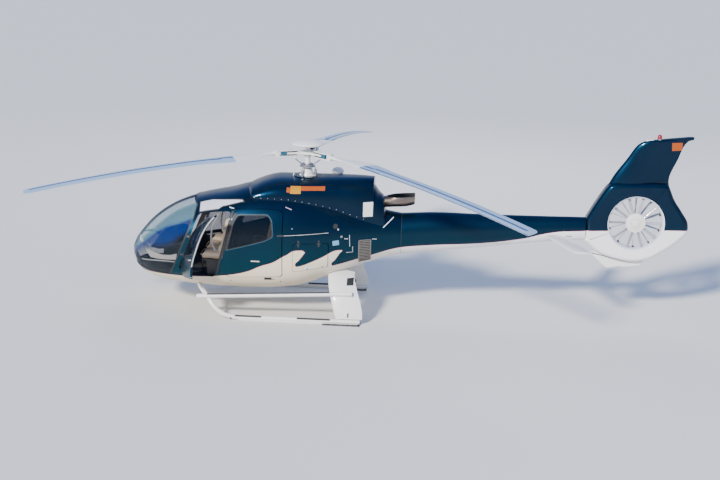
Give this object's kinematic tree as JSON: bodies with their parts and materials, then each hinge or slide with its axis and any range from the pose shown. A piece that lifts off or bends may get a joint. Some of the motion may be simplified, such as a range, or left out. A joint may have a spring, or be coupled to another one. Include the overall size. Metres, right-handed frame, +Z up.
{
  "type": "helicopter",
  "caption": "Light helicopter with a bubble-nosed cabin, hinged and sliding doors, skid landing gear, a drooping main rotor and a shrouded tail fan.",
  "frame": {"origin": "flat hard point on the belly, on the rotor axis", "axes": "+X towards the nose, +Y towards the aircraft's left side, +Z up along the rotor axis"},
  "size_m": [12.401, 8.7962, 3.64],
  "materials": {
    "blue_paint": "metallic gloss",
    "white_paint": "gloss",
    "glass": "tinted",
    "blade_grey": "satin",
    "bare_metal": "satin",
    "exhaust_metal": "heat tinted",
    "black_plastic": "matte",
    "beige_leather": "soft",
    "rubber": "matte"
  },
  "bodies": {
    "airframe": {"cabin_shell": "blue_paint", "sliding_door_left": "blue_paint", "rear_fuselage": "blue_paint", "engine_cowling": "blue_paint", "tail_boom": "blue_paint", "fin_and_shroud": "blue_paint", "ventral_fin": "white_paint", "fan_stator": "white_paint", "stabilizer_left": "white_paint", "stabilizer_right": "white_paint", "skid_left": "white_paint", "skid_right": "white_paint", "rear_legs": "white_paint", "step_left": "white_paint", "step_right": "white_paint", "windshield_left": "glass", "windshield_right": "glass", "skylight_left": "glass", "skylight_right": "glass", "rear_window_left": "glass", "slide_rail": "bare_metal", "engine_block": "bare_metal", "mast_housing": "bare_metal", "exhaust_nozzle": "exhaust_metal", "front_seat_shells": "black_plastic", "rear_seat_shells": "black_plastic", "instrument_panel": "black_plastic", "pilot_controls": "black_plastic", "front_cushion_left": "beige_leather", "front_cushion_centre": "beige_leather", "front_cushion_right": "beige_leather", "rear_cushion_1": "beige_leather", "rear_cushion_2": "beige_leather", "rear_cushion_3": "beige_leather", "rear_cushion_4": "beige_leather", "ground_pad_left": "rubber", "ground_pad_right": "rubber"},
    "main_rotor": {"rotor_mast": "bare_metal", "rotor_hub": "white_paint", "blade_sleeve_a": "white_paint", "rotor_blade_a": "blade_grey", "blade_sleeve_b": "white_paint", "rotor_blade_b": "blade_grey", "blade_sleeve_c": "white_paint", "rotor_blade_c": "blade_grey", "rotor_head_cap": "white_paint"},
    "tail_fan": {"tail_fan": "white_paint"},
    "front_door_left": {"front_door_left": "blue_paint", "front_window_left": "glass"},
    "front_door_right": {"front_door_right": "blue_paint", "front_window_right": "glass"},
    "rear_door_right": {"rear_door_right": "blue_paint", "rear_window_right": "glass"},
    "baggage_door_left": {"baggage_door_left": "blue_paint"},
    "baggage_door_right": {"baggage_door_right": "blue_paint"}
  },
  "joints": [
    {"name": "main_rotor_spin", "type": "hinge", "parent": "airframe", "child": "main_rotor", "pos_m": [0, 0, 2.5], "axis": [0, 0, 1], "continuous": true},
    {"name": "tail_fan_spin", "type": "hinge", "parent": "airframe", "child": "tail_fan", "pos_m": [-6.35, 0.06, 1.458], "axis": [0, 1, 0], "continuous": true},
    {"name": "front_door_left_hinge", "type": "hinge", "parent": "airframe", "child": "front_door_left", "pos_m": [2.402, 0.925, 0.308], "axis": [-0.3379, 0, 0.9412], "range_deg": [-6, 62]},
    {"name": "front_door_right_hinge", "type": "hinge", "parent": "airframe", "child": "front_door_right", "pos_m": [2.402, -0.925, 0.308], "axis": [-0.3379, 0, 0.9412], "range_deg": [0, 62]},
    {"name": "rear_door_right_hinge", "type": "hinge", "parent": "airframe", "child": "rear_door_right", "pos_m": [1.604, -1.013, 0.308], "axis": [-0.2516, 0, 0.9678], "range_deg": [0, 80]},
    {"name": "baggage_door_left_hinge", "type": "hinge", "parent": "airframe", "child": "baggage_door_left", "pos_m": [0, 0.953, 1.008], "axis": [0.9692, 0.2462, 0], "range_deg": [0, 80]},
    {"name": "baggage_door_right_hinge", "type": "hinge", "parent": "airframe", "child": "baggage_door_right", "pos_m": [0, -0.953, 1.008], "axis": [-0.9692, 0.2462, 0], "range_deg": [0, 80]}
  ]
}
